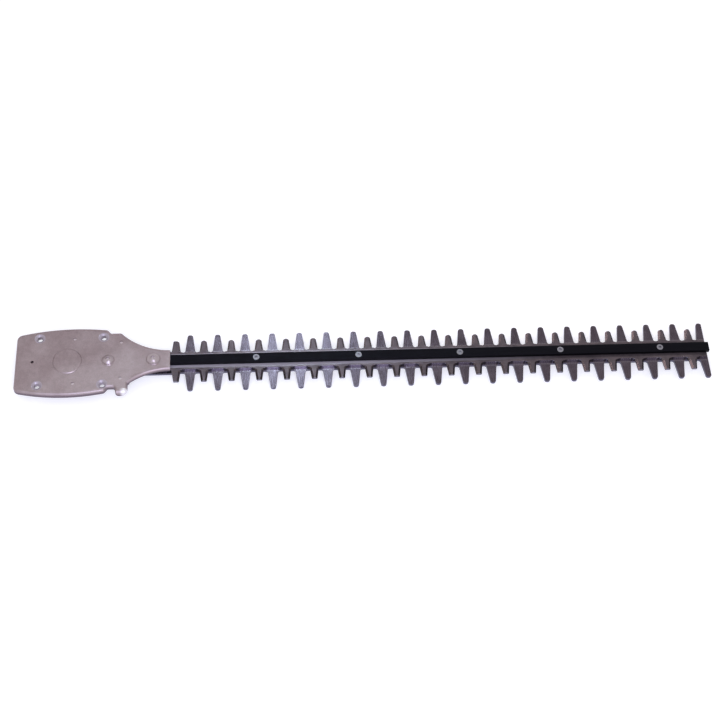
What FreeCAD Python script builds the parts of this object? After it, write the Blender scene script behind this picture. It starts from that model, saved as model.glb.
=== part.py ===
"""Hedge trimmer blade: a cast gear cover that carries a fixed long-tooth comb, a sliding short-tooth
cutter and a support bar. Millimetres. The origin is the middle of the cover's four screw holes, on the
face that meets the gear housing; +X points to the blade's tip and +Z out of the cover's outer face."""
import FreeCAD, Part
import math
import os
import Sketcher

doc = FreeCAD.newDocument("hedge_trimmer_blade")

# Driving dimensions
SIZES = [
    ("tooth_pitch", 27.0, "from one long tooth to the next"),
    ("tooth_count", 20, "long teeth on each side, and as many short ones"),
    ("first_long_tooth", 115.1, "from the origin to the first long tooth"),
    ("comb_thickness", 3.0, "sheet of the fixed comb"),
    ("comb_reach", 31.45, "from the middle line to a long tooth's tip"),
    ("comb_floor", 11.5, "from the middle line to the gap floor between long teeth"),
    ("comb_shank_half", 12.4, "half the width of the comb's plain rear end"),
    ("comb_shank_stop", 11.0, "from the first long tooth back to the plain rear end"),
    ("long_tip_width", 5.0, "long tooth at its tip, before rounding"),
    ("long_flank", 7.6, "slope of a long tooth's sides, in degrees"),
    ("long_tip_round", 2.4, "radius of a long tooth's tip corners"),
    ("long_root_round", 2.0, "radius at a long tooth's root"),
    ("comb_end_margin", 2.7, "from the last long tooth to the comb's cut end"),
    ("cutter_thickness", 3.0, "sheet of the sliding cutter"),
    ("cutter_reach", 22.85, "from the middle line to a short tooth's tip"),
    ("cutter_floor", 9.5, "from the middle line to the gap floor between short teeth"),
    ("short_tip_width", 5.5, "short tooth at its tip, before rounding"),
    ("short_flank", 7.6, "slope of a short tooth's sides, in degrees"),
    ("short_tip_round", 1.0, "radius of a short tooth's tip corners"),
    ("short_root_round", 3.0, "radius at a short tooth's root"),
    ("bevel_width", 1.9, "width of the ground cutting bevel on a short tooth's sides"),
    ("bevel_lift", 0.5, "from the gap floor to where the bevel starts"),
    ("edge_land", 1.0, "height left square under the bevel"),
    ("cutter_end_margin", 15.0, "from the last short tooth to the cutter's end"),
    ("cutter_stroke", 18.0, "full travel of the cutter"),
    ("running_gap", 0.1, "oil gap on each face of the cutter"),
    ("slot_play", 0.1, "side play of a slot round its bush"),
    ("slot_end_play", 1.0, "room left past each end of the stroke"),
    ("cam_slot_width", 18.3, "drive slot across the blade, along X"),
    ("cam_slot_length", 36.3, "drive slot, along Y"),
    ("yoke_wall", 5.5, "metal round the drive slot"),
    ("neck_underside", 1.6, "neck and bar underside, over the gear housing's face"),
    ("bar_width", 9.8, "support bar"),
    ("bar_thickness", 4.0, "support bar"),
    ("bar_edge", 0.5, "broken top edges of the bar"),
    ("bar_end_gap", 0.2, "between the neck and the bar"),
    ("bar_end_margin", 3.5, "from the last long tooth to the bar's end"),
    ("screw_first", 180.0, "from the origin to the first bar screw"),
    ("screw_spacing", 100.5, "from one bar screw to the next"),
    ("screw_count", 5, "bar screws"),
    ("screw_radius", 2.0, "bar screw shank"),
    ("screw_head_radius", 3.1, "countersunk head"),
    ("screw_head_rim", 0.4, "straight rim of the countersunk head"),
    ("screw_socket", 1.7, "hexagon socket, to a corner"),
    ("screw_socket_depth", 1.3, "hexagon socket"),
    ("screw_bush_radius", 3.5, "spacer bush on a bar screw"),
    ("bolt_radius", 2.5, "neck and rear bolt shank"),
    ("bolt_bush_radius", 4.0, "spacer bush on a bolt"),
    ("bolt_dome_radius", 4.2, "bolt head above its flange"),
    ("bolt_dome_height", 3.0, "bolt head with its flange"),
    ("bolt_flange_height", 1.1, "flange of a bolt head"),
    ("bolt_socket", 2.3, "hexagon socket, to a corner"),
    ("bolt_socket_depth", 1.6, "hexagon socket"),
    ("neck_bolt_flange", 5.8, "radius of the neck bolt's flange"),
    ("rear_bolt_flange", 5.0, "radius of the rear bolt's flange"),
    ("neck_bolt_place", 79.8, "from the origin to the neck bolt"),
    ("rear_bolt_place", 36.0, "from the origin to the rear bolt"),
    ("comb_rear_margin", 8.0, "comb left behind the rear bolt"),
    ("shank_fit", 0.1, "play round a shank, in bushes, washers and holes"),
    ("thread_fit", 0.05, "play between a nut and its thread"),
    ("screw_washer_radius", 4.5, "washer of a bar screw"),
    ("screw_washer_height", 0.8, "washer of a bar screw"),
    ("screw_nut_flats", 7.0, "lock nut of a bar screw, across its flats"),
    ("bolt_washer_radius", 5.0, "washer of a bolt"),
    ("bolt_washer_height", 1.0, "washer of a bolt"),
    ("bolt_nut_flats", 8.0, "lock nut of a bolt, across its flats"),
    ("nut_height", 5.0, "lock nut with its collar"),
    ("nut_hexagon", 3.2, "hexagon part of a lock nut"),
    ("nut_collar_wall", 0.6, "flats standing out past the collar"),
    ("thread_end", 0.4, "nut left bare past the thread's end"),
    ("plate_thickness", 6.0, "gear cover, from the housing to the outer face"),
    ("plate_left", 53.5, "from the origin to the cover's rear edge"),
    ("far_bow", 233.0, "radius of the cover's far edge"),
    ("far_rear", 31.0, "far edge at the rear corner"),
    ("far_front", 36.0, "far edge at the step"),
    ("far_step", 34.5, "from the origin to the far step"),
    ("near_bow", 198.0, "radius of the cover's near edge"),
    ("near_rear", 31.5, "near edge at the rear corner"),
    ("near_front", 33.8, "near edge at the step"),
    ("near_step", 33.0, "from the origin to the near step"),
    ("near_ledge", 29.6, "near edge between the step and the lug"),
    ("step_run", 3.2, "length of a step, along X"),
    ("shoulder", 48.0, "from the origin to the far shoulder"),
    ("flare_radius", 66.0, "sweep from the shoulder to the neck"),
    ("neck_half", 11.3, "half the width of the neck"),
    ("neck_end", 96.0, "from the origin to the end of the neck"),
    ("lug_rear", 42.9, "from the origin to the lug's rear side"),
    ("lug_front", 55.3, "from the origin to the lug's front side"),
    ("lug_reach", 37.2, "from the middle line to the lug's end"),
    ("lug_round", 5.8, "outer corner of the lug"),
    ("lug_lean", 1.3, "lean of the lug's rear side"),
    ("lug_top_round", 5.0, "round on the lug's outer end"),
    ("rear_corner", 6.0, "radius of the cover's rear corners"),
    ("outer_corner", 3.4, "radius of the steps' and shoulder's outer corners"),
    ("inner_corner", 2.0, "radius of the steps' inner corners"),
    ("face_round", 3.0, "round on the cover's outer face"),
    ("gear_axis", 3.3, "from the origin back to the gear's axis"),
    ("boss_radius", 14.0, "raised disc over the gear's axis"),
    ("boss_height", 0.8, "raised disc, and the bosses under the bolts"),
    ("boss_slope", 0.7, "sloping edge of a raised disc"),
    ("bolt_boss_margin", 1.2, "boss standing out past a bolt's flange"),
    ("shaft_seat_radius", 4.0, "blind seat of the gear's shaft"),
    ("shaft_seat_floor", 1.4, "metal left behind the shaft seat"),
    ("gear_room_radius", 28.0, "round room for the gear and yoke"),
    ("gear_room_roof", 2.8, "roof of the gear room, over the housing's face"),
    ("spigot_wall", 2.6, "locating rim round the gear room"),
    ("channel_play", 0.8, "room each side of the comb's shank"),
    ("thin_from", 57.0, "where the cover is thinned for the blades"),
    ("mount_x", 62.0, "housing screws, along X"),
    ("mount_y", 53.2, "housing screws, along Y"),
    ("mount_hole", 2.75, "radius of a housing screw's hole"),
    ("countersink", 5.2, "radius of its countersink"),
    ("countersink_slope", 60.0, "from the hole's axis to its side, in degrees"),
    ("mark_radius", 1.5, "ejector mark"),
    ("mark_depth", 0.8, "ejector mark"),
    ("rear_mark_depth", 3.0, "the rear mark, which is drilled"),
    ("rear_mark", 37.0, "from the origin back to the rear mark"),
    ("middle_marks", 3.0, "from the origin to the middle pair of marks"),
    ("middle_marks_half", 25.3, "half the spacing of the middle pair"),
    ("front_marks", 48.3, "from the origin to the front pair of marks"),
    ("front_marks_half", 20.5, "half the spacing of the front pair"),
]
sheet = doc.addObject("Spreadsheet::Sheet", "sizes")
for row, (alias, number, note) in enumerate(SIZES, start=1):
    sheet.set(f"A{row}", alias)
    sheet.set(f"B{row}", str(number))
    sheet.set(f"C{row}", note)
    sheet.setAlias(f"B{row}", alias)
doc.recompute()


def value(expression):
    """Number that an expression of the sheet gives now."""
    return float(sheet.evalExpression(str(expression)))


# Levels and places that several pieces share, each as an expression of the sheet
FACE = "sizes.plate_thickness"
BOSS_TOP = f"({FACE} + sizes.boss_height)"
GUIDE = "sizes.neck_underside"
CUTTER_BASE = f"({GUIDE} - sizes.running_gap - sizes.cutter_thickness)"
COMB_TOP = f"({CUTTER_BASE} - sizes.running_gap)"
COMB_BASE = f"({COMB_TOP} - sizes.comb_thickness)"
SPACER = f"({GUIDE} - {COMB_TOP})"
BAR_TOP = f"({GUIDE} + sizes.bar_thickness)"
FIRST_SHORT = "(sizes.first_long_tooth - sizes.tooth_pitch / 2)"
LAST_LONG = "(sizes.first_long_tooth + (sizes.tooth_count - 1) * sizes.tooth_pitch)"
GEAR_X = "(-sizes.gear_axis)"
SCREW_NUT_BASE = f"({COMB_BASE} - sizes.screw_washer_height - sizes.nut_height)"
BOLT_NUT_BASE = f"({COMB_BASE} - sizes.bolt_washer_height - sizes.nut_height)"


def new_body(label, level="0"):
    """Empty body for one sub-part, standing at a level."""
    body = doc.addObject("PartDesign::Body", label)
    body.Label = label
    body.AllowCompound = True
    body.setExpression("Placement.Base.z", level)
    return body


def origin_of(body, role):
    """Origin plane or axis of a body, by its role."""
    return next(item for item in body.Origin.OriginFeatures if item.Role == role)


def new_sketch(body, name, height="0", role="XY_Plane", along="0"):
    """Sketch on one of the body's own planes, raised by height and shifted along X."""
    sketch = body.newObject("Sketcher::SketchObject", name)
    sketch.AttachmentSupport = (origin_of(body, role), [""])
    sketch.MapMode = "FlatFace"
    sketch.setExpression("AttachmentOffset.Base.z", height)
    sketch.setExpression("AttachmentOffset.Base.x", along)
    return sketch


def bind(sketch, constraint, expression):
    """Add a constraint and tie it to the sheet."""
    index = sketch.addConstraint(constraint)
    sketch.setExpression(f"Constraints[{index}]", str(expression))


def place_point(sketch, edge, end, x, y):
    """Tie one point of an edge to two expressions."""
    bind(sketch, Sketcher.Constraint("DistanceX", edge, end, value(x)), x)
    bind(sketch, Sketcher.Constraint("DistanceY", edge, end, value(y)), y)


def arc_between(start, end, radius):
    """Arc of under half a turn from start to end: to the left if the radius is positive."""
    chord = end - start
    half = chord.Length / 2
    rise = math.sqrt(max(radius * radius - half * half, 0.0))
    left = FreeCAD.Vector(-chord.y, chord.x, 0).normalize()
    middle = (start + end) * 0.5 + left * (rise if radius > 0 else -rise)
    circle = Part.Circle(middle, FreeCAD.Vector(0, 0, 1), abs(radius))
    first, last = (start, end) if radius > 0 else (end, start)
    return Part.ArcOfCircle(circle, circle.parameter(first), circle.parameter(last))


def outline(sketch, corners):
    """Closed profile. A corner is (x, y), or (x, y, radius) where an arc runs to the next corner:
    counter-clockwise, or clockwise where the radius starts with a minus."""
    spots = [FreeCAD.Vector(value(corner[0]), value(corner[1]), 0) for corner in corners]
    edges = []
    for index, corner in enumerate(corners):
        start = spots[index]
        end = spots[(index + 1) % len(spots)]
        if len(corner) == 3:
            radius = value(corner[2])
            edge = sketch.addGeometry(arc_between(start, end, radius))
            edges.append((edge, 1, 2) if radius > 0 else (edge, 2, 1))
        else:
            edges.append((sketch.addGeometry(Part.LineSegment(start, end)), 1, 2))
    for index, corner in enumerate(corners):
        edge, first, _ = edges[index]
        before, _, last = edges[index - 1]
        sketch.addConstraint(Sketcher.Constraint("Coincident", before, last, edge, first))
        place_point(sketch, edge, first, corner[0], corner[1])
        if len(corner) == 3:
            bind(sketch, Sketcher.Constraint("Radius", edge, abs(value(corner[2]))), f"abs({corner[2]})")


def rectangle(sketch, low_x, high_x, half_y):
    """Rectangle about the middle line."""
    outline(sketch, [(low_x, f"-({half_y})"), (high_x, f"-({half_y})"), (high_x, half_y), (low_x, half_y)])


def circle(sketch, x, y, radius):
    """Circle tied to the sheet."""
    centre = FreeCAD.Vector(value(x), value(y), 0)
    edge = sketch.addGeometry(Part.Circle(centre, FreeCAD.Vector(0, 0, 1), value(radius)))
    place_point(sketch, edge, 3, x, y)
    bind(sketch, Sketcher.Constraint("Radius", edge, value(radius)), radius)


def hexagon(sketch, x, corner_radius):
    """Hexagon with two flats along X."""
    turns = [f"{60 * step}" for step in range(6)]
    outline(sketch, [(f"{x} + {corner_radius} * cos({turn})", f"{corner_radius} * sin({turn})") for turn in turns])


def slot(sketch, x, length, width, across=False):
    """Round-ended slot along X, or along Y where it runs across the blade."""
    reach = f"(({length} - {width}) / 2)"
    half = f"({width} / 2)"
    tip = f"({length} / 2)"
    corners = [
        (f"-{reach}", f"-{half}"),
        (reach, f"-{half}", half),
        (tip, "0", half),
        (reach, half),
        (f"-{reach}", half, half),
        (f"-{tip}", "0", half),
    ]
    if across:
        corners = [(f"-({corner[1]})", corner[0]) + corner[2:] for corner in corners]
    outline(sketch, [(f"{x} + {corner[0]}",) + corner[1:] for corner in corners])


def finish(body, feature):
    """Make a feature the body's last one, and stop if it failed."""
    body.Tip = feature
    doc.recompute()
    if "Invalid" in feature.State or "Error" in feature.State or feature.Shape.isNull():
        raise RuntimeError(f"{body.Label}: {feature.Name} failed")
    return feature


def pad(body, name, sketch, length, downward=False):
    """Extrude a sketch from its own level."""
    feature = body.newObject("PartDesign::Pad", name)
    feature.Profile = sketch
    feature.setExpression("Length", length)
    feature.Reversed = downward
    return finish(body, feature)


def pocket(body, name, sketch, depth, upward=False, taper="0"):
    """Cut a sketch's profile out of the body, down from its level or up from it, with a taper in degrees."""
    before = body.Shape.Volume
    feature = body.newObject("PartDesign::Pocket", name)
    feature.Profile = sketch
    feature.setExpression("Length", depth)
    feature.Reversed = upward
    feature.setExpression("TaperAngle", taper)
    finish(body, feature)
    if body.Shape.Volume > before - 1e-6:
        raise RuntimeError(f"{body.Label}: {name} cut nothing")
    return feature


def turned(body, name, sketch, cut=False):
    """Turn a half profile about the sketch's upright axis."""
    kind = "PartDesign::Groove" if cut else "PartDesign::Revolution"
    feature = body.newObject(kind, name)
    feature.Profile = sketch
    feature.ReferenceAxis = (sketch, ["V_Axis"])
    feature.Angle = 360
    return finish(body, feature)


def row_of(body, name, features, spacing, count):
    """Repeat features along X."""
    pattern = body.newObject("PartDesign::LinearPattern", name)
    pattern.Originals = features
    pattern.Direction = (origin_of(body, "X_Axis"), [""])
    pattern.Mode = "Spacing"
    pattern.setExpression("Offset", spacing)
    pattern.setExpression("Occurrences", count)
    return finish(body, pattern)


def edges_where(shape, test):
    """Names of a shape's edges that pass a test."""
    return [f"Edge{number}" for number, edge in enumerate(shape.Edges, start=1) if test(edge)]


def dress(body, kind, name, edges, size):
    """Fillet or chamfer on named edges of the body's last feature."""
    base = body.Tip
    feature = body.newObject(kind, name)
    feature.Base = (base, edges)
    feature.setExpression("Radius" if kind.endswith("Fillet") else "Size", size)
    return finish(body, feature)


def upright_at(edge, x, y):
    """True for an upright edge over a place in plan."""
    box = edge.BoundBox
    upright = box.XLength < 1e-4 and box.YLength < 1e-4
    return upright and abs(box.XMin - value(x)) < 1e-3 and abs(box.YMin - value(y)) < 1e-3


# Tooth gaps: a trapezoid that widens outward, with round floor corners and round tooth tips beside it
def gap_corners(side, x, floor, reach, tip_width, flank, tip_round, root_round):
    """Through cut between two teeth. Side is 1 on the far side and -1 on the near one."""
    short = f"tan(45 - {flank} / 2)"
    root_run = f"{root_round} * {short}"
    tip_run = f"{tip_round} * {short}"
    mouth = f"((sizes.tooth_pitch - {tip_width}) / 2)"
    base = f"({mouth} - ({reach} - {floor}) * tan({flank}))"
    beyond = f"({reach} + {tip_round})"
    half = [
        (f"{base} - {root_run}", floor, root_round),
        (f"{base} + {root_run} * sin({flank})", f"{floor} + {root_run} * cos({flank})"),
        (f"{mouth} - {tip_run} * sin({flank})", f"{reach} - {tip_run} * cos({flank})", f"-{tip_round}"),
        (f"{mouth} + {tip_run}", reach),
        (f"{mouth} + {tip_run}", beyond),
    ]
    return both_halves(side, x, half)


def both_halves(side, x, half):
    """Closed gap profile from its right half, turned to the near side where asked."""
    right = [(f"{x} + {corner[0]}", corner[1]) + corner[2:] for corner in half]
    left = []
    for number, corner in reversed(list(enumerate(half))):
        arc = half[number - 1][2:] if number else ()
        left.append((f"{x} - ({corner[0]})", corner[1]) + arc)
    corners = right + left
    if side > 0:
        return corners
    turned_round = []
    for number, corner in reversed(list(enumerate(corners))):
        arc = corners[number - 1][2:]
        turned_round.append((corner[0], f"-({corner[1]})") + arc)
    return turned_round


def bevel_corners(side, x, floor, reach, tip_width, flank, root_round, inset):
    """Gap profile with its sides set out by inset, open past the tips, for the ground bevel."""
    short = f"tan(45 - {flank} / 2)"
    low = f"({floor} + sizes.bevel_lift)"
    beyond = f"({reach} + {inset} + 1)"
    base = (f"((sizes.tooth_pitch - {tip_width}) / 2 - ({reach} - {low}) * tan({flank})"
            f" + {inset} / cos({flank}))")
    half = [
        (f"{base} - {root_round} * {short}", low, root_round),
        (f"{base} + {root_round} * {short} * sin({flank})", f"{low} + {root_round} * {short} * cos({flank})"),
        (f"{base} + ({beyond} - {low}) * tan({flank})", beyond),
    ]
    return both_halves(side, x, half)


# Gear cover with its neck, cast in one piece
def sweep_y(x):
    """Edge of the sweep between shoulder and neck, at a place along X."""
    run = f"(sizes.neck_end - {x})"
    return (f"(sizes.neck_half + sizes.flare_radius"
            f" - sqrt(sizes.flare_radius * sizes.flare_radius - {run} * {run}))")


def gear_cover():
    body = new_body("gear_cover")
    far_shoulder = sweep_y("sizes.shoulder")
    near_sweep = sweep_y("sizes.lug_front")
    corners = [
        ("sizes.neck_end", "-sizes.neck_half"),
        ("sizes.neck_end", "sizes.neck_half", "-sizes.flare_radius"),
        ("sizes.shoulder", far_shoulder),
        ("sizes.far_step + sizes.step_run", far_shoulder),
        ("sizes.far_step", "sizes.far_front", "sizes.far_bow"),
        ("-sizes.plate_left", "sizes.far_rear"),
        ("-sizes.plate_left", "-sizes.near_rear", "sizes.near_bow"),
        ("sizes.near_step", "-sizes.near_front"),
        ("sizes.near_step + sizes.step_run", "-sizes.near_ledge"),
        ("sizes.lug_rear", "-sizes.near_ledge"),
        ("sizes.lug_rear + sizes.lug_lean", "-sizes.lug_reach"),
        ("sizes.lug_front - sizes.lug_round", "-sizes.lug_reach", "sizes.lug_round"),
        ("sizes.lug_front", "sizes.lug_round - sizes.lug_reach"),
        ("sizes.lug_front", f"-{near_sweep}", "-sizes.flare_radius"),
    ]
    sketch = new_sketch(body, "cover_outline")
    outline(sketch, corners)
    pad(body, "cover_plate", sketch, FACE)

    rounds = {"sizes.rear_corner": (5, 6), "sizes.outer_corner": (2, 4, 7, 10), "sizes.inner_corner": (3, 8, 9)}
    for radius, numbers in rounds.items():
        spots = [corners[number] for number in numbers]
        names = edges_where(body.Shape, lambda edge: any(upright_at(edge, *spot[:2]) for spot in spots))
        dress(body, "PartDesign::Fillet", "corners_" + radius.split(".")[1], names, radius)

    top = value(FACE)
    end = value("sizes.neck_end")

    def on_outer_rim(edge):
        box = edge.BoundBox
        return box.ZMin > top - 1e-4 and box.XMin < end - 1e-3

    dress(body, "PartDesign::Fillet", "face_edge", edges_where(body.Shape, on_outer_rim), "sizes.face_round")

    sketch = new_sketch(body, "lug_top_profile", "sizes.lug_rear - sizes.lug_round", role="YZ_Plane")
    lug_top = "sizes.lug_top_round - sizes.lug_reach"
    clear_of_lug = "-sizes.lug_reach - 1"
    outline(sketch, [
        (lug_top, FACE, "sizes.lug_top_round"),
        ("-sizes.lug_reach", f"{FACE} - sizes.lug_top_round"),
        (clear_of_lug, f"{FACE} - sizes.lug_top_round"),
        (clear_of_lug, f"{FACE} + 1"),
        (lug_top, f"{FACE} + 1"),
    ])
    pocket(body, "lug_top", sketch, "sizes.lug_front - sizes.lug_rear + 2 * sizes.lug_round", upward=True)

    sketch = new_sketch(body, "boss_outlines", FACE)
    circle(sketch, GEAR_X, "0", "sizes.boss_radius")
    circle(sketch, "sizes.neck_bolt_place", "0", "sizes.neck_bolt_flange + sizes.bolt_boss_margin")
    circle(sketch, "sizes.rear_bolt_place", "0", "sizes.rear_bolt_flange + sizes.bolt_boss_margin")
    pad(body, "bosses", sketch, "sizes.boss_height")
    boss_level = value(BOSS_TOP)
    names = edges_where(body.Shape, lambda edge: edge.BoundBox.ZMin > boss_level - 1e-4)
    dress(body, "PartDesign::Chamfer", "boss_edges", names, "sizes.boss_slope")

    sketch = new_sketch(body, "thin_outline")
    rectangle(sketch, "sizes.thin_from", "sizes.neck_end + 1", "sizes.lug_reach")
    pocket(body, "thin_front", sketch, GUIDE, upward=True)
    sketch = new_sketch(body, "channel_outline")
    channel_half = "sizes.comb_shank_half + sizes.channel_play"
    rectangle(sketch, GEAR_X, "sizes.thin_from + 1", channel_half)
    pocket(body, "shank_channel", sketch, GUIDE, upward=True)
    sketch = new_sketch(body, "gear_room_outline")
    circle(sketch, GEAR_X, "0", "sizes.gear_room_radius")
    pocket(body, "gear_room", sketch, "sizes.gear_room_roof", upward=True)

    spigot_depth = f"-{BOLT_NUT_BASE}"
    sketch = new_sketch(body, "spigot_outline")
    circle(sketch, GEAR_X, "0", "sizes.gear_room_radius + sizes.spigot_wall")
    circle(sketch, GEAR_X, "0", "sizes.gear_room_radius")
    pad(body, "spigot", sketch, spigot_depth, downward=True)
    sketch = new_sketch(body, "spigot_gate_outline")
    rectangle(sketch, GEAR_X, f"{GEAR_X} + sizes.gear_room_radius + sizes.spigot_wall + 1", channel_half)
    pocket(body, "spigot_gate_cut", sketch, f"{spigot_depth} + 1")

    sketch = new_sketch(body, "shaft_seat_outline", "sizes.gear_room_roof")
    circle(sketch, GEAR_X, "0", "sizes.shaft_seat_radius")
    seat_depth = f"{FACE} + sizes.boss_height - sizes.shaft_seat_floor - sizes.gear_room_roof"
    pocket(body, "shaft_seat", sketch, seat_depth, upward=True)

    screw_spots = [(f"{sx} * sizes.mount_x / 2", f"{sy} * sizes.mount_y / 2") for sx in (-1, 1) for sy in (-1, 1)]
    sketch = new_sketch(body, "countersink_outlines", FACE)
    for x, y in screw_spots:
        circle(sketch, x, y, "sizes.countersink")
    depth = "(sizes.countersink - sizes.mount_hole) / tan(sizes.countersink_slope)"
    pocket(body, "countersinks", sketch, depth, taper="-sizes.countersink_slope")
    sketch = new_sketch(body, "hole_outlines", BOSS_TOP)
    for x, y in screw_spots:
        circle(sketch, x, y, "sizes.mount_hole")
    for x in ("sizes.neck_bolt_place", "sizes.rear_bolt_place"):
        circle(sketch, x, "0", "sizes.bolt_radius + sizes.shank_fit")
    pocket(body, "holes", sketch, BOSS_TOP)

    sketch = new_sketch(body, "mark_outlines", FACE)
    for place in ("sizes.middle_marks", "sizes.front_marks"):
        for sign in ("", "-"):
            circle(sketch, place, f"{sign}{place}_half", "sizes.mark_radius")
    pocket(body, "ejector_marks", sketch, "sizes.mark_depth")
    sketch = new_sketch(body, "rear_mark_outline", FACE)
    circle(sketch, "-sizes.rear_mark", "0", "sizes.mark_radius")
    pocket(body, "rear_mark", sketch, "sizes.rear_mark_depth")
    return body


# Fixed comb with long teeth
def guard_comb():
    body = new_body("guard_comb", COMB_BASE)
    thick = "sizes.comb_thickness"
    end = f"{LAST_LONG} + sizes.comb_end_margin"
    sketch = new_sketch(body, "comb_blank_outline")
    rectangle(sketch, FIRST_SHORT, end, "sizes.comb_reach")
    pad(body, "comb_blank", sketch, thick)
    sketch = new_sketch(body, "comb_screw_hole", thick)
    circle(sketch, "sizes.screw_first", "0", "sizes.screw_radius + sizes.shank_fit")
    hole = pocket(body, "screw_hole", sketch, thick)
    row_of(body, "screw_holes", [hole], "sizes.screw_spacing", "sizes.screw_count")
    sketch = new_sketch(body, "comb_gap_outlines", thick)
    for side in (1, -1):
        outline(sketch, gap_corners(
            side, FIRST_SHORT, "sizes.comb_floor", "sizes.comb_reach",
            "sizes.long_tip_width", "sizes.long_flank", "sizes.long_tip_round", "sizes.long_root_round"))
    gap = pocket(body, "comb_gap", sketch, thick)
    row_of(body, "comb_gaps", [gap], "sizes.tooth_pitch", "sizes.tooth_count + 1")
    sketch = new_sketch(body, "comb_shank_outline")
    rear = "sizes.rear_bolt_place - sizes.comb_rear_margin"
    rectangle(sketch, rear, "sizes.first_long_tooth - sizes.comb_shank_stop", "sizes.comb_shank_half")
    for x in ("sizes.neck_bolt_place", "sizes.rear_bolt_place"):
        circle(sketch, x, "0", "sizes.bolt_radius + sizes.shank_fit")
    pad(body, "comb_shank", sketch, thick)
    return body


# Sliding cutter with short bevelled teeth and a drive yoke at its rear
def cutter_blade():
    body = new_body("cutter_blade", CUTTER_BASE)
    thick = "sizes.cutter_thickness"
    start = f"({FIRST_SHORT} - sizes.tooth_pitch / 2)"
    end = f"{LAST_LONG} - sizes.tooth_pitch / 2 + sizes.cutter_end_margin"
    sketch = new_sketch(body, "cutter_blank_outline")
    rectangle(sketch, start, end, "sizes.cutter_reach")
    pad(body, "cutter_blank", sketch, thick)
    sketch = new_sketch(body, "cutter_shank_outline")
    rectangle(sketch, GEAR_X, f"{start} + 1", "sizes.cutter_floor")
    pad(body, "cutter_shank", sketch, thick)
    sketch = new_sketch(body, "yoke_outline")
    wall = "2 * sizes.yoke_wall"
    slot(sketch, GEAR_X, f"(sizes.cam_slot_length + {wall})", f"(sizes.cam_slot_width + {wall})", across=True)
    pad(body, "yoke", sketch, thick)
    sketch = new_sketch(body, "cam_slot_outline", thick)
    slot(sketch, GEAR_X, "sizes.cam_slot_length", "sizes.cam_slot_width", across=True)
    pocket(body, "cam_slot", sketch, thick)

    travel = "sizes.cutter_stroke + 2 * sizes.slot_end_play"
    sketch = new_sketch(body, "bolt_slot_outlines", thick)
    width = "(2 * (sizes.bolt_bush_radius + sizes.slot_play))"
    for x in ("sizes.neck_bolt_place", "sizes.rear_bolt_place"):
        slot(sketch, x, f"({width} + {travel})", width)
    pocket(body, "bolt_slots", sketch, thick)
    sketch = new_sketch(body, "screw_slot_outline", thick)
    width = "(2 * (sizes.screw_bush_radius + sizes.slot_play))"
    slot(sketch, "sizes.screw_first", f"({width} + {travel})", width)
    screw_slot = pocket(body, "screw_slot", sketch, thick)
    row_of(body, "screw_slots", [screw_slot], "sizes.screw_spacing", "sizes.screw_count")

    teeth = ["sizes.cutter_floor", "sizes.cutter_reach", "sizes.short_tip_width", "sizes.short_flank"]
    sketch = new_sketch(body, "cutter_gap_outlines", thick)
    for side in (1, -1):
        outline(sketch, gap_corners(side, start, *teeth, "sizes.short_tip_round", "sizes.short_root_round"))
    gap = pocket(body, "cutter_gap", sketch, thick)
    row_of(body, "cutter_gaps", [gap], "sizes.tooth_pitch", "sizes.tooth_count + 1")
    bevels = []
    for side, name in ((1, "far"), (-1, "near")):
        foot = new_sketch(body, f"{name}_bevel_foot", "sizes.edge_land")
        outline(foot, bevel_corners(side, "sizes.first_long_tooth", *teeth, "sizes.short_root_round", "0"))
        top = new_sketch(body, f"{name}_bevel_top", thick)
        outline(top, bevel_corners(
            side, "sizes.first_long_tooth", *teeth, "sizes.short_root_round", "sizes.bevel_width"))
        bevel = body.newObject("PartDesign::SubtractiveLoft", f"{name}_bevel")
        bevel.Profile = foot
        bevel.Sections = [top]
        bevel.Ruled = True
        bevels.append(finish(body, bevel))
    row_of(body, "bevels", bevels, "sizes.tooth_pitch", "sizes.tooth_count")
    return body


# Support bar with countersunk screw holes
def support_bar():
    body = new_body("support_bar", GUIDE)
    thick = "sizes.bar_thickness"
    sketch = new_sketch(body, "bar_outline")
    rectangle(sketch, "sizes.neck_end + sizes.bar_end_gap", f"{LAST_LONG} + sizes.bar_end_margin",
              "sizes.bar_width / 2")
    pad(body, "bar_strip", sketch, thick)
    top = value(thick)
    names = edges_where(body.Shape, lambda edge: edge.BoundBox.ZMin > top - 1e-4 and edge.BoundBox.XLength > 1)
    dress(body, "PartDesign::Fillet", "bar_edges", names, "sizes.bar_edge")
    sketch = new_sketch(body, "screw_seat_profile", role="XZ_Plane", along="sizes.screw_first")
    outline(sketch, screw_profile("0", thick, "sizes.shank_fit"))
    seat = turned(body, "screw_seat", sketch, cut=True)
    row_of(body, "screw_seats", [seat], "sizes.screw_spacing", "sizes.screw_count")
    return body


# Bar screws, spacer bushes, washers and lock nuts
def screw_profile(low, top, play):
    """Half profile of a countersunk screw between two levels, grown by the play of its hole."""
    shank = f"(sizes.screw_radius + {play})"
    head = f"(sizes.screw_head_radius + {play})"
    rim = f"({top} - sizes.screw_head_rim)"
    return [("0", low), (shank, low), (shank, f"{rim} - {head} + {shank}"), (head, rim), (head, top), ("0", top)]


def bar_screws():
    low = f"({SCREW_NUT_BASE} + sizes.thread_end)"
    body = new_body("bar_screws", low)
    length = f"({BAR_TOP} - {low})"
    sketch = new_sketch(body, "screw_half_profile", role="XZ_Plane", along="sizes.screw_first")
    outline(sketch, screw_profile("0", length, "0"))
    blank = turned(body, "screw_blank", sketch)
    sketch = new_sketch(body, "screw_socket_outline", length)
    hexagon(sketch, "sizes.screw_first", "sizes.screw_socket")
    socket = pocket(body, "screw_socket_cut", sketch, "sizes.screw_socket_depth")
    row_of(body, "screw_row", [blank, socket], "sizes.screw_spacing", "sizes.screw_count")
    return body


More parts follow.
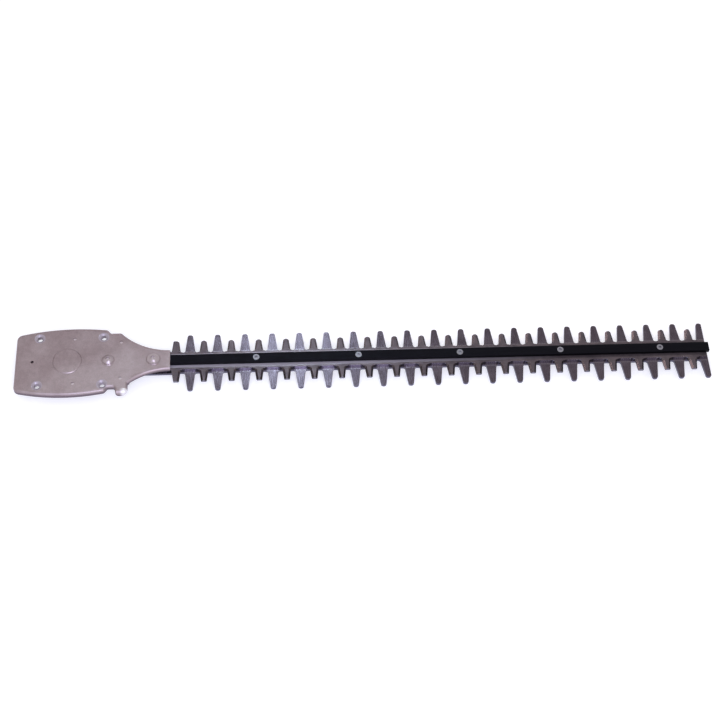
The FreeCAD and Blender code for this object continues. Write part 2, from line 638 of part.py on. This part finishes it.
def ring(label, level, x, outer, inner, height, in_row):
    """Bush or washer: one at a bolt, or a row of them along the bar."""
    body = new_body(label, level)
    sketch = new_sketch(body, label + "_outline")
    circle(sketch, x, "0", outer)
    circle(sketch, x, "0", inner)
    one = pad(body, label + "_ring", sketch, height)
    if in_row:
        row_of(body, label + "_row", [one], "sizes.screw_spacing", "sizes.screw_count")
    return body


def lock_nut(label, level, x, flats, bore, in_row):
    """Hexagon nut with the round collar of its locking insert underneath."""
    body = new_body(label, level)
    collar = "(sizes.nut_height - sizes.nut_hexagon)"
    sketch = new_sketch(body, label + "_hexagon", collar)
    hexagon(sketch, x, f"{flats} / (2 * cos(30))")
    circle(sketch, x, "0", bore)
    flats_part = pad(body, label + "_flats", sketch, "sizes.nut_hexagon")
    sketch = new_sketch(body, label + "_round")
    circle(sketch, x, "0", f"{flats} / 2 - sizes.nut_collar_wall")
    circle(sketch, x, "0", bore)
    collar_part = pad(body, label + "_collar", sketch, collar)
    if in_row:
        row_of(body, label + "_row", [flats_part, collar_part], "sizes.screw_spacing", "sizes.screw_count")
    return body


# Flanged bolts through the cover, with a domed head and a hexagon socket
def flanged_bolt(label, x, flange):
    low = f"({BOLT_NUT_BASE} + sizes.thread_end)"
    body = new_body(label, low)
    seat = f"({BOSS_TOP} - {low})"
    crown = f"({seat} + sizes.bolt_dome_height)"
    shoulder = f"({seat} + sizes.bolt_flange_height)"
    dome = "(sizes.bolt_dome_height - sizes.bolt_flange_height)"
    sketch = new_sketch(body, label + "_profile", role="XZ_Plane", along=x)
    arc = f"(({dome} * {dome} + sizes.bolt_dome_radius * sizes.bolt_dome_radius) / (2 * {dome}))"
    outline(sketch, [
        ("0", "0"),
        ("sizes.bolt_radius", "0"),
        ("sizes.bolt_radius", seat),
        (flange, seat),
        (flange, f"{seat} + sizes.bolt_flange_height / 2"),
        ("sizes.bolt_dome_radius", shoulder, arc),
        ("0", crown),
    ])
    turned(body, label + "_blank", sketch)
    sketch = new_sketch(body, label + "_socket", crown)
    hexagon(sketch, x, "sizes.bolt_socket")
    pocket(body, label + "_socket_cut", sketch, "sizes.bolt_socket_depth")
    return body


def bolt_set(end, x, flange):
    """Bolt, spacer bush, washer and lock nut at one place."""
    hole = "sizes.bolt_radius + sizes.shank_fit"
    washer_base = f"({COMB_BASE} - sizes.bolt_washer_height)"
    return [
        flanged_bolt(f"{end}_bolt", x, flange),
        ring(f"{end}_bush", COMB_TOP, x, "sizes.bolt_bush_radius", hole, SPACER, False),
        ring(f"{end}_washer", washer_base, x, "sizes.bolt_washer_radius", hole, "sizes.bolt_washer_height", False),
        lock_nut(f"{end}_nut", BOLT_NUT_BASE, x, "sizes.bolt_nut_flats",
                 "sizes.bolt_radius + sizes.thread_fit", False),
    ]


def screw_set():
    """Bar screws with their bushes, washers and lock nuts."""
    hole = "sizes.screw_radius + sizes.shank_fit"
    x = "sizes.screw_first"
    washer_base = f"({COMB_BASE} - sizes.screw_washer_height)"
    return [
        bar_screws(),
        ring("bar_bushes", COMB_TOP, x, "sizes.screw_bush_radius", hole, SPACER, True),
        ring("bar_washers", washer_base, x, "sizes.screw_washer_radius", hole, "sizes.screw_washer_height", True),
        lock_nut("bar_nuts", SCREW_NUT_BASE, x, "sizes.screw_nut_flats",
                 "sizes.screw_radius + sizes.thread_fit", True),
    ]


# Build, check and write every sub-part
pieces = [gear_cover(), guard_comb(), cutter_blade(), support_bar()]
pieces += screw_set()
pieces += bolt_set("neck", "sizes.neck_bolt_place", "sizes.neck_bolt_flange")
pieces += bolt_set("rear", "sizes.rear_bolt_place", "sizes.rear_bolt_flange")
doc.recompute()
for item in doc.Objects:
    if "Invalid" in item.State or "Error" in item.State:
        raise RuntimeError(f"{item.Label} failed to recompute")
for piece in pieces:
    if piece.Shape.isNull() or not piece.Shape.isValid():
        raise RuntimeError(f"{piece.Label} has no valid shape")
os.makedirs("parts", exist_ok=True)
for piece in pieces:
    piece.Shape.exportStep(f"parts/{piece.Label}.step")
    print(f"{piece.Label}: {len(piece.Shape.Solids)} solid(s), {piece.Shape.Volume:.0f} mm3")
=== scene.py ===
# %% [markdown]
# # Hedge trimmer blade
# The blade is a stack of flat steel strips bolted under a cast gear cover: a fixed comb with long teeth, a cutter
# with short bevelled teeth that slides over it, and a black bar that keeps the two pressed together.
# The shapes come from the CAD model, so this script rounds their edges a little, gives each piece the surface that
# it has on a real blade, and then sets up the floor, the light and the camera.

# %% Load the CAD model
import math

import bpy
from mathutils import Matrix, Vector


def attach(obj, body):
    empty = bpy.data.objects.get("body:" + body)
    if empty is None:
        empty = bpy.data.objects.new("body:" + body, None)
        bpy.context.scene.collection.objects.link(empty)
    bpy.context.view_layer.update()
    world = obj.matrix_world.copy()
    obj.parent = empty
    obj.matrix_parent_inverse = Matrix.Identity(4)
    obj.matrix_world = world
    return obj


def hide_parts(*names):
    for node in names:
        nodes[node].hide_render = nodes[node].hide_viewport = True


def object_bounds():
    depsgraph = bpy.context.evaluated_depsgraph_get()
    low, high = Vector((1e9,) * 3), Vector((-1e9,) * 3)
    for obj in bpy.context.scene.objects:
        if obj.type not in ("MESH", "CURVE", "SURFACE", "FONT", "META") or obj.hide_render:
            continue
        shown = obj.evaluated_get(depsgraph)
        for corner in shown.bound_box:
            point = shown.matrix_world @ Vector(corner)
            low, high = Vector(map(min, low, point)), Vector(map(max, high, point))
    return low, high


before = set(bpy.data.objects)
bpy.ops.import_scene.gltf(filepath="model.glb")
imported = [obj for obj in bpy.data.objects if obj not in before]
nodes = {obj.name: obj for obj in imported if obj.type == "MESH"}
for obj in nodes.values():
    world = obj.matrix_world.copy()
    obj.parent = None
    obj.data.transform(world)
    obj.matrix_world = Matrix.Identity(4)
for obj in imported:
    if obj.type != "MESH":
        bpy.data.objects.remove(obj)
cad_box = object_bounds()
print("pieces:", ", ".join(sorted(nodes)))
print("size in mm:", [round(1000 * (high - low), 1) for low, high in zip(*cad_box)])

# %% [markdown]
# ## Broken edges
# No edge of a real casting or punched strip is perfectly sharp: tumbling and deburring leave a tiny round that
# catches a line of light. CAD meshes are loose triangles with razor edges, so each piece that shows gets a copy whose
# triangles are merged into flat faces. A Bevel modifier rounds the sharp edges of the copy: by 0.4 mm on the blunt
# teeth of the comb, and by only 0.05 mm on the cutter, which has to stay sharp. Smooth shading by angle hides the
# facets of the curves, and a Weighted Normal modifier keeps that smoothing from bending the light on the large
# flats. The copy then stands for the CAD piece.

# %% Finished copies of the pieces that show
MM = 0.001
SAME_POINT = 0.001 * MM
SAME_PLANE = math.radians(0.5)
SHARP_EDGE = math.radians(35)
SMOOTH_CURVE = math.radians(30)


def finished(name, body, edge_mm):
    """Merged copy of a CAD piece with broken edges and smooth curves, in the piece's place."""
    piece = bpy.data.objects.new(name + "_finished", nodes[name].data.copy())
    bpy.context.scene.collection.objects.link(piece)
    bpy.ops.object.select_all(action="DESELECT")
    piece.select_set(True)
    bpy.context.view_layer.objects.active = piece
    bpy.ops.object.mode_set(mode="EDIT")
    bpy.ops.mesh.select_all(action="SELECT")
    bpy.ops.mesh.remove_doubles(threshold=SAME_POINT)
    bpy.ops.mesh.dissolve_limited(angle_limit=SAME_PLANE)
    bpy.ops.object.mode_set(mode="OBJECT")
    broken = piece.modifiers.new("broken_edges", "BEVEL")
    broken.width = edge_mm * MM
    broken.segments = 2
    broken.limit_method = "ANGLE"
    broken.angle_limit = SHARP_EDGE
    bpy.ops.object.modifier_apply(modifier="broken_edges")
    bpy.ops.object.shade_smooth_by_angle(angle=SMOOTH_CURVE)
    flats = piece.modifiers.new("level_flats", "WEIGHTED_NORMAL")
    flats.keep_sharp = True
    bpy.ops.object.modifier_apply(modifier="level_flats")
    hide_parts(name)
    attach(piece, body)
    print(piece.name, len(piece.data.polygons), "faces")
    return piece


cover = finished("gear_cover", "guide", edge_mm=0.25)
comb = finished("guard_comb", "guide", edge_mm=0.4)
cutter = finished("cutter_blade", "cutter", edge_mm=0.05)
bar = finished("support_bar", "guide", edge_mm=0.15)
neck_bolt = finished("neck_bolt", "guide", edge_mm=0.12)
rear_bolt = finished("rear_bolt", "guide", edge_mm=0.12)

# %% [markdown]
# ## Colours and nodes
# A colour picked from a screen is an sRGB value, and Blender's shaders work in linear light, so every hex colour goes
# through one function. A second function adds a shader node with its settings and its links.

# %% Colours, nodes and materials
def colour(hex_value):
    """Linear colour of an sRGB hex value."""
    parts = [int(hex_value[place:place + 2], 16) / 255 for place in (1, 3, 5)]
    linear = [part / 12.92 if part <= 0.04045 else ((part + 0.055) / 1.055) ** 2.4 for part in parts]
    return (*linear, 1.0)


def add_node(tree, kind, inputs=None, **settings):
    """Add a node, set its properties, and fill or link its inputs."""
    made = tree.nodes.new(kind)
    for name, value in settings.items():
        setattr(made, name, value)
    for name, value in (inputs or {}).items():
        if isinstance(value, bpy.types.NodeSocket):
            tree.links.new(value, made.inputs[name])
        else:
            made.inputs[name].default_value = value
    return made


def new_material(name):
    """Empty node material with its output."""
    material = bpy.data.materials.new(name)
    material.use_nodes = True
    material.node_tree.nodes.clear()
    return material, material.node_tree, add_node(material.node_tree, "ShaderNodeOutputMaterial")


def dress(material, *pieces):
    """Give pieces their finish."""
    for piece in pieces:
        piece.data.materials.clear()
        piece.data.materials.append(material)
    print(material.name, "on", ", ".join(piece.name for piece in pieces))


print("half grey on a screen is", round(colour("#808080")[0], 3), "in linear light")

# %% [markdown]
# ## Short names for common nodes
# Most materials are made of the same few steps: a ramp between two limits, a blend of two colours, a calculation, and
# a noise whose size is given in millimetres. Each step gets a short function that adds its node and hands back the
# output, so a material reads from top to bottom like a recipe. Noise values crowd around the middle, so the ramps read
# them over a narrower span than 0 to 1.

# %% Ramps, blends, calculations and noise
NOISE_SPAN = (0.3, 0.7)
CLOUD_SPAN = (0.32, 0.68)


def mm(*sizes):
    """Millimetres as metres, the unit of Object coordinates."""
    return tuple(size * MM for size in sizes)


def ramp(tree, value, start, end, low=0.0, high=1.0):
    """Value that goes from low to high while the given one goes from start to end."""
    limits = {"From Min": start, "From Max": end, "To Min": low, "To Max": high}
    return add_node(tree, "ShaderNodeMapRange", {"Value": value, **limits}).outputs["Result"]


def blend(tree, factor, first, second):
    """First colour where the factor is 0, second where it is 1."""
    return add_node(tree, "ShaderNodeMix", {"Factor": factor, 6: first, 7: second}, data_type="RGBA").outputs[2]


def shade(tree, base, strength):
    """Colour multiplied by a strength."""
    return add_node(tree, "ShaderNodeMix", {"Factor": 1.0, 6: base, 7: strength},
                    data_type="RGBA", blend_type="MULTIPLY").outputs[2]


def blend_values(tree, factor, first, second):
    """First value where the factor is 0, second where it is 1."""
    return add_node(tree, "ShaderNodeMix", {"Factor": factor, 2: first, 3: second}).outputs[0]


def calculate(tree, operation, *values):
    """Result of a Math node."""
    return add_node(tree, "ShaderNodeMath", dict(enumerate(values)), operation=operation).outputs[0]


def distance(tree, x, y, point):
    """How far a place is from a point, seen from above."""
    seen = add_node(tree, "ShaderNodeCombineXYZ", {"X": x, "Y": y}).outputs["Vector"]
    return add_node(tree, "ShaderNodeVectorMath", {0: seen, 1: point}, operation="DISTANCE").outputs["Value"]


def noise(tree, place, size_mm, detail, roughness=0.5):
    """Noise with features of this size."""
    return add_node(tree, "ShaderNodeTexNoise", {"Vector": place, "Scale": 1 / (size_mm * MM), "Detail": detail,
                                                 "Roughness": roughness}).outputs["Fac"]


def relief(tree, height, strength, depth_mm):
    """Bump for a texture that is too fine to model."""
    return add_node(tree, "ShaderNodeBump", {"Height": height, "Strength": strength,
                                             "Distance": depth_mm * MM}).outputs["Normal"]


def metal(tree, output, tone, roughness, **more):
    """Bare metal with this tone and roughness."""
    shader = add_node(tree, "ShaderNodeBsdfPrincipled",
                      {"Base Color": tone, "Metallic": 1.0, "Roughness": roughness, **more})
    tree.links.new(shader.outputs["BSDF"], output.inputs["Surface"])


print("noise is read from", NOISE_SPAN[0], "to", NOISE_SPAN[1])

# %% [markdown]
# ## Die-cast aluminium
# The gear cover is cast in a steel die and then tumbled. That leaves a satin grey skin with soft cloudy patches
# where the melt cooled at different speeds, and a very fine grain. Large noise makes the clouds, medium noise the
# blotches and small noise the grain, and the same grain drives a slight bump, so the light breaks up on it. The
# skin is a little paler towards the side with the lug. The steep sides are painted darker, as painted shade.

# %% Cast skin of the gear cover
CLOUD_MM, BLOTCH_MM, CAST_GRAIN_MM = 34, 5, 0.9
FAR_TO_NEAR = mm(38.0, -38.0)
PAINTED_SHADE_STEEPNESS = (0.35, 0.05)

cast, tree, output = new_material("die_cast_aluminium")
coordinates = add_node(tree, "ShaderNodeTexCoord").outputs
place = coordinates["Object"]
where = add_node(tree, "ShaderNodeSeparateXYZ", {"Vector": place}).outputs
upward = add_node(tree, "ShaderNodeSeparateXYZ", {"Vector": coordinates["Normal"]}).outputs["Z"]
clouds = noise(tree, place, CLOUD_MM, detail=3.0)
blotches = noise(tree, place, BLOTCH_MM, detail=4.0, roughness=0.65)
grain = noise(tree, place, CAST_GRAIN_MM, detail=2.0, roughness=0.6)
paler = ramp(tree, where["Y"], *FAR_TO_NEAR, low=-0.2, high=0.2)
patches = ramp(tree, calculate(tree, "ADD", clouds, paler), *CLOUD_SPAN)
skin = blend(tree, patches, colour("#8a7a7e"), colour("#9d8f93"))
skin = shade(tree, skin, ramp(tree, blotches, *NOISE_SPAN, low=0.9, high=1.1))
skin = shade(tree, skin, ramp(tree, grain, *NOISE_SPAN, low=0.93, high=1.07))
# Painted shade: the steep sides of the cover are darkened.
skin = blend(tree, ramp(tree, upward, *PAINTED_SHADE_STEEPNESS), skin, colour("#6f636b"))
print("clouds, blotches and grain of", CLOUD_MM, BLOTCH_MM, CAST_GRAIN_MM, "mm")

# %% [markdown]
# ### Worked places and painted highlights on the casting
# The screw holes are drilled and countersunk after casting, so their cones are bare metal. The ejector pins leave
# small marks, whose floors are painted lighter, and the right part of the lug's end is painted lighter too: both are
# painted highlights. All are picked out by their Object coordinates. Holes and marks lie in mirrored pairs, so the
# absolute value of a coordinate finds both of a pair.

# %% Countersinks, ejector marks and the end of the lug
SCREW_HOLE, CONE_EDGE = mm(31.0, 26.6, 0.0), mm(5.4, 5.1)
MIDDLE_MARK, FRONT_MARK = mm(3.0, 25.3, 0.0), mm(48.3, 20.5, 0.0)
MARK_RADIUS, MARK_LEVEL = 1.5 * MM, 0.9
LUG_OUTER, LUG_RIGHT = mm(-31.0, -33.0), mm(48.0, 51.5)

beside_x = calculate(tree, "ABSOLUTE", where["X"])
beside_y = calculate(tree, "ABSOLUTE", where["Y"])
drilled = ramp(tree, distance(tree, beside_x, beside_y, SCREW_HOLE), *CONE_EDGE)
tone = blend(tree, drilled, skin, colour("#a298a4"))
# Painted highlight: the floors of the ejector marks are painted lighter.
from_mark = calculate(tree, "MINIMUM", distance(tree, where["X"], beside_y, MIDDLE_MARK),
                      distance(tree, where["X"], beside_y, FRONT_MARK))
mark_highlight = calculate(tree, "MULTIPLY", calculate(tree, "LESS_THAN", from_mark, MARK_RADIUS),
                       calculate(tree, "GREATER_THAN", upward, MARK_LEVEL))
tone = blend(tree, mark_highlight, tone, colour("#bfb2b8"))
# Painted highlight: the right part of the lug's end is painted nearly white.
lug_highlight = calculate(tree, "MULTIPLY", ramp(tree, where["Y"], *LUG_OUTER), ramp(tree, where["X"], *LUG_RIGHT))
tone = blend(tree, lug_highlight, tone, colour("#dcd8dd"))
satin = ramp(tree, blotches, *NOISE_SPAN, low=0.38, high=0.5)
metal(tree, output, tone, satin, Normal=relief(tree, grain, strength=0.25, depth_mm=0.05))
dress(cast, cover)

# %% [markdown]
# ## Hardened blade steel
# Comb and cutter are punched from spring steel, hardened and ground flat. Hardening leaves a dark brownish violet
# oxide, and the grinder leaves fine lines across it. The lines are noise that is stretched in one direction by a
# Mapping node; at their true width of a few hundredths of a millimetre they would not show, so they are drawn
# 0.5 mm wide. The upright walls are left as punched and the slanted cutting bevels are honed smooth, so the shader
# picks tone and roughness by how far a face leans. Beside the bar both blades are rubbed smoother, but right at its
# foot a film of dried sap makes the steel dull, and there the tone is painted paler towards the cover, a painted
# sheen. A thin paler line across the foot of each long tooth is a painted highlight. The wall between two short teeth
# is painted bright in its middle, a painted reflection of the long tooth in front of it. The comb and the cutter share
# one recipe with their own tones.

# %% Steel of the comb and the cutter
LINE_MM, LINE_STRETCH, OXIDE_MM = 0.5, (1.0, 0.03, 1.0), 14
LEANING, UPRIGHT, LEVEL = (0.95, 0.8), (0.4, 0.2), 0.95
FIRST_TOOTH, HALF_PITCH = mm(115.1, 13.5)
WALL_INNER, WALL_MIDDLE = mm(12.6, 12.0), mm(6.0, 4.5)
FOOT_LINE_PLACE, FOOT_LINE_HALF_WIDTH = mm(11.9, 0.5)
BAR_FOOT, RUBBED_BAND, TIP_TO_COVER = mm(7.9, 7.3), mm(9.5, 8.0), mm(480.0, 280.0)
RUBBED, SAPPY, HONED = 0.26, 0.8, 0.22


def ground_steel(name, dark, light, bevel, wall, painted_reflection, foot_highlight, roughness):
    """Oxidised steel, ground flat; leaning faces are honed smooth and upright ones left as punched.

    The fifth tone is a painted reflection in the middle of the walls between the short teeth, the last a painted
    highlight line across the foot of the long teeth."""
    material, tree, output = new_material(name)
    coordinates = add_node(tree, "ShaderNodeTexCoord").outputs
    place = coordinates["Object"]
    where = add_node(tree, "ShaderNodeSeparateXYZ", {"Vector": place}).outputs
    across = calculate(tree, "ABSOLUTE", where["Y"])
    upward = add_node(tree, "ShaderNodeSeparateXYZ", {"Vector": coordinates["Normal"]}).outputs["Z"]
    leaning = ramp(tree, upward, *LEANING)
    foot = ramp(tree, across, *BAR_FOOT)

    stretched = add_node(tree, "ShaderNodeMapping", {"Vector": place, "Scale": LINE_STRETCH}).outputs["Vector"]
    lines = noise(tree, stretched, LINE_MM, detail=3.0, roughness=0.6)
    oxide = noise(tree, place, OXIDE_MM, detail=4.0, roughness=0.6)
    tone = blend(tree, ramp(tree, oxide, *CLOUD_SPAN), colour(dark), colour(light))
    tone = shade(tree, tone, ramp(tree, lines, *NOISE_SPAN, low=0.94, high=1.06))
    tone = blend(tree, leaning, tone, colour(bevel))

    # Painted reflection: the middle of the walls between the short teeth takes the fifth tone, for the long tooth
    # mirrored in them.
    from_first = calculate(tree, "SUBTRACT", where["X"], FIRST_TOOTH)
    from_tooth = calculate(tree, "PINGPONG", from_first, HALF_PITCH)
    between = calculate(tree, "MULTIPLY", ramp(tree, across, *WALL_INNER), ramp(tree, from_tooth, *WALL_MIDDLE))
    punched = blend(tree, between, colour(wall), colour(painted_reflection))
    tone = blend(tree, ramp(tree, upward, *UPRIGHT), tone, punched)

    # Painted highlight: a thin paler line across the foot of the long teeth.
    foot_band = calculate(tree, "COMPARE", across, FOOT_LINE_PLACE, FOOT_LINE_HALF_WIDTH)
    painted_foot_highlight = calculate(tree, "MULTIPLY", foot_band, calculate(tree, "GREATER_THAN", upward, LEVEL))
    tone = blend(tree, painted_foot_highlight, tone, colour(foot_highlight))
    # Painted sheen: at the bar's foot the tone grows paler towards the cover.
    painted_sheen = calculate(tree, "MULTIPLY", foot, ramp(tree, where["X"], *TIP_TO_COVER))
    tone = blend(tree, painted_sheen, tone, colour("#b0aab6"))

    dull = ramp(tree, lines, *NOISE_SPAN, low=roughness - 0.05, high=roughness + 0.06)
    dull = blend_values(tree, ramp(tree, across, *RUBBED_BAND), dull, RUBBED)
    dull = blend_values(tree, foot, dull, SAPPY)
    dull = blend_values(tree, leaning, dull, HONED)
    metal(tree, output, tone, dull, Normal=relief(tree, lines, strength=0.05, depth_mm=0.03))
    return material


comb_steel = ground_steel("oxidised_comb_steel", dark="#463e46", light="#574e57", bevel="#6d646b",
                          wall="#5c5a6c", painted_reflection="#5c5a6c", foot_highlight="#655d64", roughness=0.27)
cutter_steel = ground_steel("oxidised_cutter_steel", dark="#4b4349", light="#61575c", bevel="#5b5256",
                            wall="#767480", painted_reflection="#e4e2f0", foot_highlight="#574e52", roughness=0.4)
dress(comb_steel, comb)
dress(cutter_steel, cutter)

# %% [markdown]
# ## Blackened bar
# The support bar is cold-drawn strip with a black oxide finish. It is almost black, with a soft sheen along its
# length and small rubbed places. A metallic shader with a very dark colour keeps the sheen without the milky look
# that a clear coat would give.

# %% Black oxide of the support bar
DRAWN_MM, DRAWN_STRETCH, RUBBED_MM = 0.6, (0.02, 1.0, 1.0), 9

black, tree, output = new_material("black_oxide_steel")
place = add_node(tree, "ShaderNodeTexCoord").outputs["Object"]
along = add_node(tree, "ShaderNodeMapping", {"Vector": place, "Scale": DRAWN_STRETCH}).outputs["Vector"]
drawn = noise(tree, along, DRAWN_MM, detail=3.0, roughness=0.6)
tone = blend(tree, drawn, colour("#0e0e12"), colour("#1b1a20"))
sheen = ramp(tree, noise(tree, place, RUBBED_MM, detail=4.0), *NOISE_SPAN, low=0.42, high=0.54)
metal(tree, output, tone, sheen, Normal=relief(tree, drawn, strength=0.12, depth_mm=0.04))
dress(black, bar)

# %% [markdown]
# ## Zinc-plated fasteners
# Screws, bushes, washers and lock nuts are zinc plated: slightly blue, with a fine crystalline cloud that dulls with
# age. The two bolts in the cover have a duller grey plating, close to the cover's own tone.

# %% Platings
CRYSTAL_MM = 1.6


def plating(name, dark, light, roughness):
    """Plated steel with a fine cloudy tone."""
    material, tree, output = new_material(name)
    cloud = noise(tree, add_node(tree, "ShaderNodeTexCoord").outputs["Object"], CRYSTAL_MM, detail=4.0)
    tone = blend(tree, cloud, colour(dark), colour(light))
    metal(tree, output, tone, ramp(tree, cloud, *NOISE_SPAN, low=roughness - 0.05, high=roughness + 0.08))
    return material


small_parts = ["bar_screws", "bar_bushes", "bar_washers", "bar_nuts",
               "neck_bush", "neck_washer", "neck_nut", "rear_bush", "rear_washer", "rear_nut"]
zinc = plating("zinc_plated_steel", dark="#716f76", light="#9a98a1", roughness=0.42)
dress(zinc, *[nodes[name] for name in small_parts])
dress(plating("grey_plated_steel", dark="#9a8d92", light="#b3a6ab", roughness=0.34), neck_bolt, rear_bolt)

# %% [markdown]
# ## Floor and light
# The photograph has a white ground with hardly any shadow. The floor is a pale diffuse sheet, and for rays that come
# straight from the camera or off shiny metal it glows, which lifts the ground to white without putting more light on
# the blade. Metal shows what it mirrors: the flat tops mirror the pale room behind, so they keep their own tone. Two
# cool softboxes on the camera's side, one for the blades and one for the cover, brighten the slopes that lean to the
# viewer. A third beside the camera shines into the corners between cutter and comb, which send its light straight
# back. A small one behind, with a grid that narrows its beam, puts a sheen on the steel beside the cover and leaves
# the cover alone. A weak warm one, low at the far left, lights the cutter's bevels at the blade's right end.

# %% Floor
FLOOR_SIZE, FLOOR_CENTRE, FLOOR_GLOW = 8, 0.3, 0.48


def show_white(tree, low, high):
    """Strength that is high for rays from the camera, off metal and through glass, and low for the rest."""
    rays = add_node(tree, "ShaderNodeLightPath").outputs
    shiny = calculate(tree, "MAXIMUM", rays["Is Camera Ray"], rays["Is Glossy Ray"])
    clear = calculate(tree, "MAXIMUM", shiny, rays["Is Transmission Ray"])
    return ramp(tree, clear, 0.0, 1.0, low, high)


bpy.ops.object.select_all(action="DESELECT")
bpy.ops.mesh.primitive_plane_add(size=FLOOR_SIZE, location=(FLOOR_CENTRE, 0, cad_box[0][2]))
floor = bpy.context.object
floor.name = "floor"
bpy.ops.object.transform_apply(location=True)
ground, tree, output = new_material("pale_floor")
sheet = add_node(tree, "ShaderNodeBsdfPrincipled",
                 {"Base Color": colour("#d8d6de"), "Roughness": 0.9, "Specular IOR Level": 0.0,
                  "Emission Color": colour("#ffffff"), "Emission Strength": show_white(tree, 0.0, FLOOR_GLOW)})
tree.links.new(sheet.outputs["BSDF"], output.inputs["Surface"])
dress(ground, floor)
print("floor at", round(cad_box[0][2] * 1000, 2), "mm")

# %% World and softboxes
SKY_LIGHT, SKY_SEEN = 0.8, 1.0

world = bpy.data.worlds.new("studio")
bpy.context.scene.world = world
world.use_nodes = True
tree = world.node_tree
tree.nodes.clear()
sky = add_node(tree, "ShaderNodeBackground",
               {"Color": colour("#ffffff"), "Strength": show_white(tree, SKY_LIGHT, SKY_SEEN)})
tree.links.new(sky.outputs["Background"], add_node(tree, "ShaderNodeOutputWorld").inputs["Surface"])


def softbox(name, place, target, size, power, tint, spread=180):
    """Square area light that faces a point; a spread under 180 degrees is a grid that narrows its beam."""
    lamp = bpy.data.lights.new(name, "AREA")
    lamp.size = size
    lamp.energy = power
    lamp.color = colour(tint)[:3]
    lamp.spread = math.radians(spread)
    holder = bpy.data.objects.new(name, lamp)
    holder.location = place
    holder.rotation_euler = (Vector(target) - Vector(place)).to_track_quat("-Z", "Y").to_euler()
    bpy.context.scene.collection.objects.link(holder)
    print(name, "of", power, "W at", place)


softbox("front_softbox", (0.33, -0.78, 0.56), (0.25, 0, 0), size=0.2, power=3.0, tint="#e0e4ff")
softbox("cover_softbox", (-0.12, -0.8, 0.6), (0.0, 0, 0), size=0.25, power=1.3, tint="#ced8ff")
softbox("camera_softbox", (0.22, -0.76, 1.25), (0.21, 0, 0), size=0.15, power=2.5, tint="#d6e2ff")
softbox("back_softbox", (0.229, 0.73, 1.18), (0.21, 0, 0), size=0.12, power=0.06, tint="#d6f1ff", spread=34)
softbox("left_softbox", (-0.22, 0.49, 0.29), (0.6, 0, 0), size=0.2, power=0.1, tint="#ffe9e0", spread=34)

# %% [markdown]
# ## Camera
# The photograph looks down on the blade from its near side, about 58 degrees above the floor. The camera's place and
# directions were solved from the tooth tips, so they are given as three axes and a point. A 70 mm lens on a square
# frame gives the photograph's slight perspective.

# %% Camera
LENS_MM, FRAME_MM = 70, 36
CAMERA_PLACE = (0.1963, -0.7203, 1.1782)

camera = bpy.data.cameras.new("camera")
camera.lens = LENS_MM
camera.sensor_width = FRAME_MM
right = Vector((0.99777, -0.05337, 0.04010))
up = Vector((0.02470, 0.85314, 0.52110))
forward = Vector((0.06203, 0.51894, -0.85256))
turn = Matrix((right, up, -forward)).transposed().to_4x4()
viewer = bpy.data.objects.new("camera", camera)
viewer.matrix_world = Matrix.Translation(CAMERA_PLACE) @ turn
bpy.context.scene.collection.objects.link(viewer)
bpy.context.scene.camera = viewer
bpy.context.scene.view_settings.view_transform = "Standard"
print("camera looks", [round(part, 3) for part in forward])
